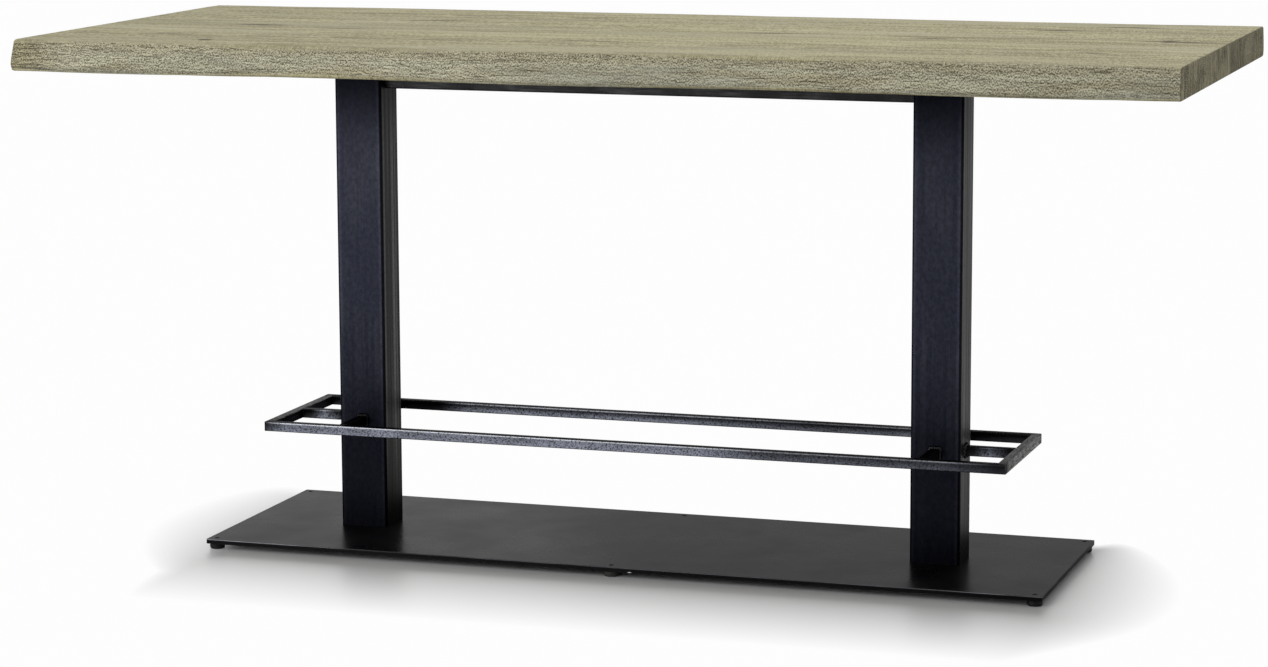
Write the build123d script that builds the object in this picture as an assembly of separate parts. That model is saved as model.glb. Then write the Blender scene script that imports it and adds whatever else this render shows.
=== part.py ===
from build123d import *
import math
import os

os.makedirs("parts", exist_ok=True)

# Bar table: an oak top with two natural edges on two steel posts, with a footrest ring and a floor plate.
# Millimetres. X runs along the table, Y across it from front to back, +Z is up.
# The origin is on the floor, under the middle of the table.

# Oak top
table_height = 1094.0
top_length = 2390.0
top_width = 1070.0
top_thickness = 64.0
inner_stave_count = 5
stave_width = 150.0
end_arris = 2.0

# Natural edges: how far each leans out from top face to underside, and its slow wave along the length
front_lean_left = 24.0
front_lean_right = 8.0
front_wander = 20.0
front_wave_length = 920.0
front_wave_peak = -60.0
back_lean_left = 16.0
back_lean_right = 12.0
back_wander = 30.0
back_wave_length = 2400.0
back_wave_peak = -450.0
edge_belly = 6.0
edge_spare = 30.0
edge_section_count = 13
top_arris = 9.0
bottom_arris = 14.0

# Posts
post_spacing = 1258.0
post_width = 105.0
post_depth = 95.0
post_wall = 4.0
post_corner = 6.0

# Beam between the heads of the posts
beam_height = 60.0
beam_depth = 40.0
beam_wall = 3.0
beam_corner = 4.0

# Mounting plates on the heads of the posts
mounting_thickness = 5.0
mounting_rim = 8.0
mounting_margin = 50.0
mounting_corner = 10.0
slot_length = 20.0

# Bolts, washers and threaded inserts between mounting plates and top
top_bolt_diameter = 8.0
top_bolt_head_flats = 13.0
top_bolt_head_height = 5.3
top_bolt_grip = 16.0
washer_diameter = 21.0
washer_thickness = 1.6
insert_diameter = 12.0
insert_length = 18.0
insert_hole_spare = 5.0

# Footrest ring, the stubs that carry it and the fillet welds round the stubs
footrest_length = 1608.0
footrest_width = 350.0
footrest_height = 263.0
footrest_tube = 20.0
footrest_wall = 2.0
footrest_tube_corner = 2.0
weld_leg = 6.0
weld_lip = 1.0

# Floor plate
plate_length = 1800.0
plate_width = 540.0
plate_thickness = 10.0
plate_corner = 3.0
plate_edge_break = 0.6

# Threaded blocks in the feet of the posts, and the countersunk bolts that come up through the floor plate
block_thickness = 16.0
post_bolt_diameter = 10.0
post_bolt_head_diameter = 19.0
post_bolt_length = 23.0
post_bolt_inset = 22.0

# Levelling feet
foot_height = 12.0
foot_diameter = 32.0
foot_inset = 18.0
foot_round = 4.0
foot_top_break = 1.0
foot_floor_thickness = 4.0
stud_diameter = 10.0
stud_recess = 1.5

# Clearances
thread_clearance = 0.25
press_clearance = 0.1
slot_clearance = 0.5
foot_clearance = 0.2

# Heights and places that follow from the sizes above
underside = table_height - top_thickness
post_top = underside - mounting_thickness
plate_top = foot_height + plate_thickness
post_x = post_spacing / 2
outer_seam = inner_stave_count * stave_width / 2
footrest_middle = footrest_height - footrest_tube / 2
footrest_corner = 3 * footrest_wall
bolt_rows = [row * stave_width for row in (-2, -1, 1, 2)]
sides = {"left": -1, "right": 1}
foot_rows = {"front": -1, "back": 1}
foot_columns = {"left": -1, "middle": 0, "right": 1}
standing = (Align.CENTER, Align.CENTER, Align.MIN)


def save(name, shape):
    shape.label = name
    export_step(shape, os.path.join("parts", name + ".step"))


def save_group(name, solids):
    save(name, Compound(label=name, children=solids))


def disc(diameter, height):
    return Cylinder(diameter / 2, height, align=standing)


def ring(outer_diameter, inner_diameter, height):
    return disc(outer_diameter, height) - disc(inner_diameter, height)


def tube(width, depth, wall, corner, length):
    """Straight tube along +Z from z = 0, with rounded corners."""
    inner_corner = max(corner - wall, wall / 4)
    section = RectangleRounded(width, depth, corner)
    section -= RectangleRounded(width - 2 * wall, depth - 2 * wall, inner_corner)
    return extrude(section, length)


def stave(y_low, y_high):
    """Plain board of the top between two glue lines."""
    width = y_high - y_low
    place = Pos(0, y_low + width / 2, underside)
    return place * Box(top_length, width, top_thickness, align=standing)


def insert_holes(y):
    """Holes for the threaded inserts over both posts, along one row of bolts."""
    hole = disc(insert_diameter + 2 * press_clearance, insert_length + insert_hole_spare)
    return [Pos(side * post_x, y, underside) * hole for side in sides.values()]


def inner_stave(y):
    board = stave(y - stave_width / 2, y + stave_width / 2)
    board = fillet(board.edges().filter_by(Axis.Y), end_arris)
    if y in bolt_rows:
        board -= insert_holes(y)
    return board


def edge_sections(side, reach, lean_left, lean_right, wander, wave_length, wave_peak):
    """Cross-sections of the waste outside a natural edge, from end to end of the top and a little beyond."""
    over = top_thickness / 4
    beyond = top_width / 2 + 2 * edge_spare
    sections = []
    for index in range(edge_section_count):
        share = index / (edge_section_count - 1)
        x = (share - 0.5) * (top_length + 2 * over)
        lean = lean_left + share * (lean_right - lean_left)
        foot = reach - wander * (1 - math.cos(2 * math.pi * (x - wave_peak) / wave_length)) / 2
        extra = lean * over / top_thickness
        high = (side * (foot - lean - extra), table_height + over)
        middle = (side * (foot - lean / 2 + edge_belly), underside + top_thickness / 2)
        low = (side * (foot + extra), underside - over)
        outline = ThreePointArc(high, middle, low)
        outline += Polyline(low, (side * beyond, low[1]), (side * beyond, high[1]), high)
        sections.append(Plane.YZ.offset(x) * make_face(outline))
    return sections


def natural_board(side, reach, *edge):
    """Outer board of the top, its free side worked to the natural edge and rounded along both arrises."""
    board = stave(*sorted((side * outer_seam, side * (top_width / 2 + edge_spare))))
    board -= loft(edge_sections(side, reach, *edge))
    board = fillet(board.edges().filter_by(GeomType.BSPLINE).sort_by(Axis.Z)[-1], top_arris)
    return fillet(board.edges().filter_by(GeomType.BSPLINE).sort_by(Axis.Z)[0], bottom_arris)


def edge_stave(side, *edge):
    """Outer board with rounded ends; the furthest point of its natural edge is at half the top's width."""
    reach = top_width / 2
    box = natural_board(side, reach, *edge).bounding_box()
    board = natural_board(side, 2 * reach - max(-box.min.Y, box.max.Y), *edge)
    for end in (0, -1):
        rim = board.faces().sort_by(Axis.X)[end].edges()
        glued = rim.sort_by(lambda line: abs(line.center().Y))[0]
        board = fillet([line for line in rim if line != glued], end_arris)
    return board


def top_board():
    save("stave_front_edge", edge_stave(
        -1, front_lean_left, front_lean_right, front_wander, front_wave_length, front_wave_peak))
    save("stave_back_edge", edge_stave(
        1, back_lean_left, back_lean_right, back_wander, back_wave_length, back_wave_peak))
    for index in range(inner_stave_count):
        y = (index - (inner_stave_count - 1) / 2) * stave_width
        save(f"stave_inner_{index + 1}", inner_stave(y))


def mounting_plate():
    """Plate on the head of a post, lying along Y, with slots that let the top move across its grain."""
    length = bolt_rows[-1] - bolt_rows[0] + 2 * mounting_margin
    outline = RectangleRounded(post_width + 2 * mounting_rim, length, mounting_corner)
    slot = Rot(0, 0, 90) * SlotOverall(slot_length, top_bolt_diameter + 2 * slot_clearance)
    for y in bolt_rows:
        outline -= Pos(0, y) * slot
    return extrude(outline, mounting_thickness)


def top_bolt():
    """Hexagon bolt with its head down; z = 0 is the seat under the head."""
    head = extrude(RegularPolygon(top_bolt_head_flats / 2, 6, major_radius=False), -top_bolt_head_height)
    shank = disc(top_bolt_diameter, washer_thickness + mounting_thickness + top_bolt_grip)
    return head + shank


def post_heads():
    insert = ring(insert_diameter, top_bolt_diameter + 2 * thread_clearance, insert_length)
    washer = ring(washer_diameter, top_bolt_diameter + 2 * slot_clearance, washer_thickness)
    for name, side in sides.items():
        save(f"mounting_plate_{name}", Pos(side * post_x, 0, post_top) * mounting_plate())
        places = [Pos(side * post_x, y) for y in bolt_rows]
        washer_seat = post_top - washer_thickness
        save_group(f"top_inserts_{name}", [place * Pos(0, 0, underside) * insert for place in places])
        save_group(f"top_washers_{name}", [place * Pos(0, 0, washer_seat) * washer for place in places])
        save_group(f"top_bolts_{name}", [place * Pos(0, 0, washer_seat) * top_bolt() for place in places])
    beam = tube(beam_depth, beam_height, beam_wall, beam_corner, post_spacing - post_width)
    start = Vector(-(post_spacing - post_width) / 2, 0, post_top - beam_height / 2)
    save("top_beam", Plane(start, x_dir=(0, 1, 0), z_dir=(1, 0, 0)) * beam)


def post_bolt_places():
    x = post_width / 2 - post_bolt_inset
    y = post_depth / 2 - post_bolt_inset
    return [Pos(i * x, j * y) for i in (-1, 1) for j in (-1, 1)]


def post_bolt(extra):
    """Countersunk bolt with its head face at z = 0, grown all round by extra."""
    shank_radius = post_bolt_diameter / 2 + extra
    head_radius = post_bolt_head_diameter / 2 + extra
    head = Cone(head_radius, shank_radius, head_radius - shank_radius, align=standing)
    return head + Cylinder(shank_radius, post_bolt_length, align=standing)


def post_block():
    """Threaded block that fills the foot of a post."""
    gap = 2 * (post_wall + press_clearance)
    corner = max(post_corner - post_wall, post_wall / 4)
    block = extrude(RectangleRounded(post_width - gap, post_depth - gap, corner), block_thickness)
    hole = disc(post_bolt_diameter + 2 * thread_clearance, block_thickness)
    return block - [place * hole for place in post_bolt_places()]


def posts():
    post = tube(post_width, post_depth, post_wall, post_corner, post_top - plate_top)
    for name, side in sides.items():
        foot = Pos(side * post_x, 0, plate_top)
        save(f"post_{name}", foot * post)
        save(f"post_block_{name}", foot * post_block())
        bolts = [Pos(side * post_x, 0, foot_height) * place * post_bolt(0) for place in post_bolt_places()]
        save_group(f"post_bolts_{name}", bolts)


def foot_places():
    x = plate_length / 2 - foot_inset
    y = plate_width / 2 - foot_inset
    return {
        f"{row}_{column}": Pos(j * x, i * y)
        for row, i in foot_rows.items()
        for column, j in foot_columns.items()
    }


def floor_plate():
    plate = extrude(RectangleRounded(plate_length, plate_width, plate_corner), plate_thickness)
    rims = plate.faces().filter_by(Axis.Z).edges()
    plate = chamfer(rims, plate_edge_break)
    stud_hole = disc(stud_diameter + 2 * thread_clearance, plate_thickness)
    plate -= [place * stud_hole for place in foot_places().values()]
    for side in sides.values():
        plate -= [Pos(side * post_x, 0) * place * post_bolt(press_clearance) for place in post_bolt_places()]
    save("floor_plate", Pos(0, 0, foot_height) * plate)


def levelling_feet():
    pad_height = foot_height - foot_clearance
    pad = disc(foot_diameter, pad_height)
    rims = pad.edges().sort_by(Axis.Z)
    pad = fillet(rims[0], foot_round)
    pad = chamfer(pad.edges().sort_by(Axis.Z)[-1], foot_top_break)
    socket = Pos(0, 0, foot_floor_thickness) * disc(stud_diameter + 2 * press_clearance, pad_height)
    pad -= socket
    stud_length = plate_top - stud_recess - foot_floor_thickness
    stud = Pos(0, 0, foot_floor_thickness) * disc(stud_diameter, stud_length)
    for name, place in foot_places().items():
        save(f"foot_pad_{name}", place * pad)
        save(f"foot_stud_{name}", place * stud)


def rail(start, direction, length, plan):
    """Ring rail along direction from start, mitred to its plan and with the ring's rounded corners."""
    across = Vector(0, 0, 1).cross(direction)
    profile = tube(footrest_tube, footrest_tube, footrest_wall, footrest_tube_corner, length)
    bar = Plane(start, x_dir=across, z_dir=direction) * profile
    ring_outline = RectangleRounded(footrest_length, footrest_width, footrest_corner)
    mitred = make_face(Polyline(*plan, close=True)) & ring_outline
    return bar & Pos(0, 0, footrest_height - footrest_tube) * extrude(mitred, footrest_tube)


def footrest():
    x = footrest_length / 2
    y = footrest_width / 2
    inner_x = x - footrest_tube
    inner_y = y - footrest_tube
    for name, side in foot_rows.items():
        plan = [(-x, side * y), (x, side * y), (inner_x, side * inner_y), (-inner_x, side * inner_y)]
        start = Vector(-x, side * (y - footrest_tube / 2), footrest_middle)
        save(f"footrest_rail_{name}", rail(start, Vector(1, 0, 0), footrest_length, plan))
    for name, side in sides.items():
        plan = [(side * x, -y), (side * x, y), (side * inner_x, inner_y), (side * inner_x, -inner_y)]
        start = Vector(side * (x - footrest_tube / 2), -y, footrest_middle)
        save(f"footrest_rail_{name}", rail(start, Vector(0, 1, 0), footrest_width, plan))


def stub(length):
    """Arm from a post to the ring; z = 0 is the face of the post."""
    return tube(footrest_tube, footrest_tube, footrest_wall, footrest_tube_corner, length)


def weld():
    """Fillet weld round the end of a stub; z = 0 is the face of the post."""
    foot_width = footrest_tube + 2 * weld_leg
    lip_width = footrest_tube + 2 * weld_lip
    foot = RectangleRounded(foot_width, foot_width, footrest_tube_corner + weld_leg)
    lip = RectangleRounded(lip_width, lip_width, footrest_tube_corner + weld_lip)
    bead = loft([foot, Pos(0, 0, weld_leg) * lip], ruled=True)
    return bead - extrude(RectangleRounded(footrest_tube, footrest_tube, footrest_tube_corner), weld_leg)


def stubs():
    face_x = post_x + post_width / 2
    face_y = post_depth / 2
    reach_x = footrest_length / 2 - footrest_tube - face_x
    reach_y = footrest_width / 2 - footrest_tube - face_y
    for name, side in sides.items():
        arms = {"outer": (Vector(side * face_x, 0, footrest_middle), Vector(side, 0, 0), reach_x)}
        for row, way in foot_rows.items():
            arms[row] = (Vector(side * post_x, way * face_y, footrest_middle), Vector(0, way, 0), reach_y)
        welds = []
        for arm, (start, direction, reach) in arms.items():
            seat = Plane(start, x_dir=Vector(0, 0, 1).cross(direction), z_dir=direction)
            save(f"footrest_stub_{name}_{arm}", seat * stub(reach))
            welds.append(seat * weld())
        save_group(f"footrest_welds_{name}", welds)


top_board()
post_heads()
posts()
floor_plate()
levelling_feet()
footrest()
stubs()
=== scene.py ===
import math
from functools import partial

import bmesh
import bpy
import numpy as np
from mathutils import Matrix, Vector, noise
from mathutils.bvhtree import BVHTree


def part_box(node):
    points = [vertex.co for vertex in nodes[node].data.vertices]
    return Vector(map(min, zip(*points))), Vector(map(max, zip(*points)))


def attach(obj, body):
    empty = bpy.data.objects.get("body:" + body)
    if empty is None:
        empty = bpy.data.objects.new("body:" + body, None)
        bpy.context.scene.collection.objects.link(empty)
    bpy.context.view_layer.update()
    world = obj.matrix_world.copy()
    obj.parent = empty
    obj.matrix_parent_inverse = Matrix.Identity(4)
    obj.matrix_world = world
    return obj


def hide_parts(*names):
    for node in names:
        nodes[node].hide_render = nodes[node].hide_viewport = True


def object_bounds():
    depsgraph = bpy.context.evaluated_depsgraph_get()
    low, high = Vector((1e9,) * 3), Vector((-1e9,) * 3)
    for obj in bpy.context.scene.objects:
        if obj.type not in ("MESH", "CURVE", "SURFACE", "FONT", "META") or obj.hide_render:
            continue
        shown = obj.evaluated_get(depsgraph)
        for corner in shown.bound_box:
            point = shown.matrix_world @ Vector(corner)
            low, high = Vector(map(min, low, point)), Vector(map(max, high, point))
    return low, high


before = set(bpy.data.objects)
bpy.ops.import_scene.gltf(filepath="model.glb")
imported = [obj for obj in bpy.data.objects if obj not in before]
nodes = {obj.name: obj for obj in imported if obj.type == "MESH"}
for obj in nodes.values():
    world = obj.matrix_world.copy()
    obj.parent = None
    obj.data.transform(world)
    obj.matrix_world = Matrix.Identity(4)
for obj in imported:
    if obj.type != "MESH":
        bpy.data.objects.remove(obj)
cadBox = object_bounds()
scene = bpy.context.scene
scene.view_settings.view_transform = "Standard"
print("frame loaded,", len(nodes), "CAD nodes")

# plain values that the shader groups and the studio share
origin = (0.0, 0.0, 0.0)
white = (1.0, 1.0, 1.0, 1.0)
black = (0.0, 0.0, 0.0, 1.0)


# node helpers, shared by every material: a node goes into the tree of the sockets that feed it
def feed(sockets, values):
    for key, value in values.items():
        if isinstance(value, bpy.types.NodeSocket):
            value.id_data.links.new(value, sockets[key])
        else:
            sockets[key].default_value = value


def addNode(kind, inputs, tree=None, **settings):
    sources = [value for value in inputs.values() if isinstance(value, bpy.types.NodeSocket)]
    node = (tree or sources[0].id_data).nodes.new("ShaderNode" + kind)
    for key, value in settings.items():
        setattr(node, key, value)
    feed(node.inputs, inputs)
    return node.outputs


def mathOn(operation, first, second=0.0, third=0.0, clamp=False):
    inputs = {0: first, 1: second, 2: third}
    return addNode("Math", inputs, operation=operation, use_clamp=clamp)[0]


plus = partial(mathOn, "ADD")
minus = partial(mathOn, "SUBTRACT")
times = partial(mathOn, "MULTIPLY")
timesPlus = partial(mathOn, "MULTIPLY_ADD")  # first times second, plus third
over = partial(mathOn, "DIVIDE")
power = partial(mathOn, "POWER")
larger = partial(mathOn, "MAXIMUM")
unsigned = partial(mathOn, "ABSOLUTE")


def vectorOn(operation, first, second=origin):
    outputs = addNode("VectorMath", {0: first, 1: second}, operation=operation)
    return outputs["Value" if operation in ("LENGTH", "DOT_PRODUCT") else "Vector"]


def axesOf(vector):
    return addNode("SeparateXYZ", {0: vector})


def joined(x, y, z):
    return addNode("CombineXYZ", {"X": x, "Y": y, "Z": z})[0]


# where the surface faces, for the material or group that holds a socket
def facingBy(socket, normal="Normal"):
    return addNode("NewGeometry", {}, socket.id_data)[normal]


def mixColor(factor, first, second, blend="MIX"):
    inputs = {0: factor, 6: first, 7: second}
    return addNode("Mix", inputs, data_type="RGBA", blend_type=blend)[2]


def mixValue(factor, first, second):
    return addNode("Mix", {0: factor, 2: first, 3: second})[0]


def shadeBy(color, tone):
    gray = addNode("CombineColor", {0: tone, 1: tone, 2: tone}, color.id_data)[0]
    return mixColor(1.0, color, gray, blend="MULTIPLY")


def remap(value, low, high, outLow=0.0, outHigh=1.0, smooth=True):
    inputs = {"Value": value, "From Min": low, "From Max": high, "To Min": outLow, "To Max": outHigh}
    kind = "SMOOTHSTEP" if smooth else "LINEAR"
    return addNode("MapRange", inputs, interpolation_type=kind)["Result"]


# noise whose cells are stretched: stretch is cells per metre along x, y and z
def stretched(position, stretch, detail=2, rough=0.5, distort=0.0):
    place = vectorOn("MULTIPLY", position, stretch)
    inputs = {"Vector": place, "Scale": 1.0, "Detail": detail, "Roughness": rough, "Distortion": distort}
    return addNode("TexNoise", inputs)["Fac"]


# specks with a pale side, from the same noise a little further on
def paired(position, beside, **figure):
    further = vectorOn("ADD", position, beside)
    return minus(stretched(position, **figure), stretched(further, **figure))


# patches that go from one tone to another over a span of a noise
def patches(position, span, tones=(0.0, 1.0), **figure):
    return remap(stretched(position, **figure), *span, *tones)


# noises of a figure by name, and the sum of them by their weights
def layersOf(position, figures):
    layers = {}
    total = 0.0
    for name, (weight, figure) in figures.items():
        make = paired if "beside" in figure else stretched
        layers[name] = make(position, **figure)
        total = timesPlus(layers[name], weight, total)
    return layers, total


# a group from the values that its inputs start from and a function that gives its outputs by name
def makeGroup(name, inputs, build):
    tree = bpy.data.node_groups.new(name, "ShaderNodeTree")
    kinds = {1: "NodeSocketFloat", 3: "NodeSocketVector", 4: "NodeSocketColor"}
    for label, value in inputs.items():
        socket = tree.interface.new_socket(label, in_out="INPUT", socket_type=kinds[np.size(value)])
        socket.default_value = value
    results = build(tree.nodes.new("NodeGroupInput").outputs)
    for label in results:
        kind = kinds[4 if label == "Color" else 1]
        tree.interface.new_socket(label, in_out="OUTPUT", socket_type=kind)
    feed(tree.nodes.new("NodeGroupOutput").inputs, results)
    return tree


def useGroup(group, inputs):
    return addNode("Group", inputs, node_tree=group)


def newMaterial(name):
    material = bpy.data.materials.new(name)
    material.use_nodes = True
    tree = material.node_tree
    shader = tree.nodes["Principled BSDF"]
    return material, shader, addNode("TexCoord", {}, tree)["Object"]


def bump(height, strength, distance):
    return addNode("Bump", {"Height": height, "Strength": strength, "Distance": distance})["Normal"]


def paint(node, material):
    node.data.materials.clear()
    node.data.materials.append(material)


sharpAngle = math.radians(50)


# a closed mesh that stands for CAD nodes: normals out, smooth but for its sharp edges
def addPiece(name, points, faces, nodeNames):
    mesh = bpy.data.meshes.new(name + "_mesh")
    mesh.from_pydata([tuple(point) for point in points], [], faces)
    bm = bmesh.new()
    bm.from_mesh(mesh)
    bmesh.ops.recalc_face_normals(bm, faces=bm.faces)
    for face in bm.faces:
        face.smooth = len(face.verts) == 4
    for edge in bm.edges:
        edge.smooth = edge.calc_face_angle(0.0) < sharpAngle
    bm.to_mesh(mesh)
    bm.free()
    piece = bpy.data.objects.new(name, mesh)
    scene.collection.objects.link(piece)
    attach(piece, "table")
    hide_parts(*nodeNames)
    print(name, len(points), "points")
    return piece


# growth rings of a board round a pith line that drifts along the length
ringFigure = {"bend": (1.1, 5.0, 5.0), "wander": 0.05, "sharpness": 1.6}


def growthRings(given):
    split = axesOf(given["Position"])
    bend = stretched(given["Position"], ringFigure["bend"])
    wander = times(minus(bend, 0.5), ringFigure["wander"])
    slide = times(split["X"], given["Drift"])
    across = plus(minus(split["Y"], given["Pith Y"]), wander)
    upward = minus(minus(split["Z"], given["Pith Z"]), slide)
    radius = vectorOn("LENGTH", joined(0.0, across, upward))
    phase = mathOn("FRACT", over(radius, given["Ring Width"]))
    return {"Ring": power(phase, ringFigure["sharpness"])}


ringGroup = makeGroup("oakRings", {
    "Position": origin, "Pith Y": 0.0, "Pith Z": 0.9, "Drift": 0.03, "Ring Width": 0.005}, growthRings)


def ringsIn(given, drift, width):
    inputs = {label: given[label] for label in ("Position", "Pith Y", "Pith Z")}
    return useGroup(ringGroup, dict(inputs, Drift=drift, **{"Ring Width": width}))["Ring"]


# smooth planed oak: layers of figure with their weights, then a pale veil, mineral streaks and open pores
grainFigure = {
    "layers": {
        "streak": (0.52, dict(stretch=(1.8, 46, 46), detail=3, rough=0.65)),
        "band": (0.28, dict(stretch=(1.5, 18, 18), distort=0.25)),
        "fleck": (0.20, dict(stretch=(120, 42, 42), rough=0.6)),
        "fine": (0.34, dict(stretch=(7, 95, 95))),
        "dash": (0.80, dict(stretch=(400, 52, 52), detail=1)),
        "fibre": (0.26, dict(stretch=(14, 620, 620))),
    },
    "ringWidth": 0.0065,
    "ringWeight": -0.14,
    "span": (0.99, 1.29),
    "veil": dict(stretch=(1.3, 8, 8), detail=3, rough=0.6, span=(0.45, 0.70), tones=(0.0, 0.6)),
    "mineral": dict(stretch=(1.9, 34, 34), detail=3, rough=0.55, span=(0.60, 0.74), tones=(0.0, 0.5)),
    "pore": dict(stretch=(38, 950, 950), detail=1, span=(0.60, 0.72)),
    "poreTone": -0.25,
    "poreDepth": -0.8,
    "fibreDepth": 0.5,
    "fibreRough": 0.2,
    "rough": 0.58,
}


def planedGrain(given):
    place = vectorOn("ADD", given["Position"], given["Shift"])
    layers, body = layersOf(place, grainFigure["layers"])
    ring = ringsIn(given, given["Drift"], grainFigure["ringWidth"])
    body = timesPlus(ring, grainFigure["ringWeight"], body)
    color = mixColor(remap(body, *grainFigure["span"]), given["Dark"], given["Light"])
    color = mixColor(patches(place, **grainFigure["veil"]), color, given["Wash"])
    color = mixColor(patches(place, **grainFigure["mineral"]), color, given["Dark"])
    pore = patches(place, **grainFigure["pore"])
    raised = times(layers["fibre"], grainFigure["fibreDepth"])
    return {
        "Color": shadeBy(color, timesPlus(pore, grainFigure["poreTone"], given["Tone"])),
        "Roughness": timesPlus(layers["fibre"], grainFigure["fibreRough"], grainFigure["rough"]),
        "Height": timesPlus(pore, grainFigure["poreDepth"], raised),
    }


grainGroup = makeGroup("oakGrain", {
    "Position": origin, "Shift": origin, "Pith Y": 0.0, "Pith Z": 0.9, "Drift": 0.03, "Light": white,
    "Dark": black, "Wash": white, "Tone": 1.0}, planedGrain)


# sawn end of a board: rings, specks and upright saw marks
endFigure = {
    "layers": {
        "speck": (0.45, dict(stretch=(330, 330, 240), rough=0.6)),
        "saw": (0.50, dict(stretch=(3, 150, 16), detail=4, rough=0.7)),
        "patch": (0.20, dict(stretch=(8, 10, 14))),
    },
    "ringWidth": 0.0045,
    "ringWeight": -0.10,
    "span": (0.43, 0.62),
    "sawDepth": 0.5,
    "speckDepth": 0.6,
}


def sawnEnd(given):
    place = vectorOn("ADD", given["Position"], given["Shift"])
    layers, body = layersOf(place, endFigure["layers"])
    ring = ringsIn(given, 0.0, endFigure["ringWidth"])
    body = timesPlus(ring, endFigure["ringWeight"], body)
    sawn = times(layers["saw"], endFigure["sawDepth"])
    return {
        "Color": mixColor(remap(body, *endFigure["span"]), given["Dark"], given["Light"]),
        "Height": timesPlus(layers["speck"], endFigure["speckDepth"], sawn),
    }


endGroup = makeGroup("oakEndGrain", {
    "Position": origin, "Shift": origin, "Pith Y": 0.0, "Pith Z": 0.9, "Light": white,
    "Dark": black}, sawnEnd)


# brushed natural edge: flecks and fibres along the board, brown and grey patches, dark splits
edgeFigure = {
    "layers": {
        "fleck": (0.13, dict(stretch=(75, 290, 290), detail=0, beside=(0.0, 0.0, 0.0026))),
        "speck": (0.28, dict(stretch=(400, 360, 360), detail=0, beside=(0.0, 0.0, 0.0026))),
        "grit": (0.13, dict(stretch=(330, 250, 250), detail=0, beside=(0.0024, 0.0, 0.0))),
        "slow": (0.08, dict(stretch=(2, 10, 24))),
        "fibre": (0.22, dict(stretch=(6, 240, 240), detail=3, rough=0.6, distort=0.3)),
    },
    "span": (-0.01, 0.31),
    "brown": dict(stretch=(3, 9, 30), detail=3, rough=0.6, span=(0.50, 0.64), tones=(0.0, 0.6)),
    "brownUnderTop": (0.010, 0.028, 0.45, 0.0),  # how far below the top it fades, from and to what share
    "brownEnd": (-1.19, -1.04, 0.9, 0.0),  # the left end is browner
    "gray": dict(stretch=(2.2, 6, 13), detail=3, rough=0.6, span=(0.46, 0.64), tones=(0.0, 0.7)),
    "grayUnderTop": (0.012, 0.032),
    "grayShare": 0.5,
    "split": dict(stretch=(4, 180, 320), detail=3, rough=0.7, distort=0.4),
    "splitEnd": (-1.17, -1.05, 0.07, 0.0),  # and has more splits
    "splitSpan": (0.60, 0.68, 0.0, 0.70),
    "splitDepth": -0.9,
}


def naturalEdge(given):
    place = vectorOn("ADD", given["Position"], given["Shift"])
    body = layersOf(place, edgeFigure["layers"])[1]
    color = mixColor(remap(body, *edgeFigure["span"]), given["Dark"], given["Light"])
    spot = axesOf(given["Position"])
    below = minus(given["Top"], spot["Z"])
    brown = patches(place, **edgeFigure["brown"])
    brown = larger(brown, remap(below, *edgeFigure["brownUnderTop"]))
    brown = larger(brown, remap(spot["X"], *edgeFigure["brownEnd"]))
    color = mixColor(brown, color, given["Brown"], blend="MULTIPLY")
    gray = patches(place, **edgeFigure["gray"])
    gray = times(gray, remap(below, *edgeFigure["grayUnderTop"]))
    color = mixColor(gray, color, mixColor(edgeFigure["grayShare"], color, given["Gray"]))
    line = stretched(place, **edgeFigure["split"])
    line = plus(line, remap(spot["X"], *edgeFigure["splitEnd"]))
    split = remap(line, *edgeFigure["splitSpan"])
    return {
        "Color": mixColor(split, color, given["Split"]),
        "Height": timesPlus(split, edgeFigure["splitDepth"], body),
    }


naturalGroup = makeGroup("oakNaturalEdge", {
    "Position": origin, "Shift": origin, "Light": white, "Dark": black, "Gray": white, "Brown": white,
    "Split": black, "Top": 1.0}, naturalEdge)


# one drying crack on the top face: an open core and the stained wood round it
crackFigure = {
    "wave": dict(stretch=(14, 3, 3), detail=3, rough=0.6),
    "waveDepth": 0.012,
    "ragged": dict(stretch=(110, 260, 60), detail=3, rough=0.7),
    "endSpan": (0.0, 0.1),
    "coreSpan": (0.25, 0.75, 1.0, 0.0),
    "stainTaper": 0.6,
    "stainSpan": (0.2, 1.1, 1.0, 0.0),
    "stainEnds": (0.8, 1.5, 1.0, 0.0),
    "leastWidth": 1e-6,
}


def dryingCrack(given):
    offset = axesOf(vectorOn("SUBTRACT", given["Position"], given["Middle"]))
    wave = stretched(given["Position"], **crackFigure["wave"])
    drift = times(minus(wave, 0.5), crackFigure["waveDepth"])
    line = plus(times(offset["X"], given["Slope"]), drift)
    away = unsigned(minus(offset["Y"], line))
    along = over(unsigned(offset["X"]), given["Half Length"])
    taper = minus(1.0, power(along, 2.0), clamp=True)
    longer = minus(1.0, times(along, crackFigure["stainTaper"]), clamp=True)
    ragged = stretched(given["Position"], **crackFigure["ragged"])

    def awayIn(narrowing, spread):  # share of the way out to a ragged border
        border = times(times(given["Width"], narrowing), spread)
        return over(away, plus(border, crackFigure["leastWidth"]))

    core = remap(awayIn(taper, times(ragged, 2.0)), *crackFigure["coreSpan"])
    stain = remap(awayIn(longer, plus(ragged, 1.0)), *crackFigure["stainSpan"])
    return {
        "Core": times(core, remap(taper, *crackFigure["endSpan"])),
        "Stain": times(stain, remap(along, *crackFigure["stainEnds"])),
    }


crackGroup = makeGroup("dryingCrack", {
    "Position": origin, "Middle": origin, "Half Length": 0.1, "Slope": 0.0, "Width": 0.002}, dryingCrack)


# rubbed edges of coated steel, found from a wide bevel against the real normal
rubFigure = {
    "bevelSamples": 6,
    "turnSpan": (0.03, 0.22),
    "patch": dict(stretch=(38, 38, 38), detail=4, rough=0.7),
    "patchLow": 0.55,
    "patchHigh": 0.75,
}


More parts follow.
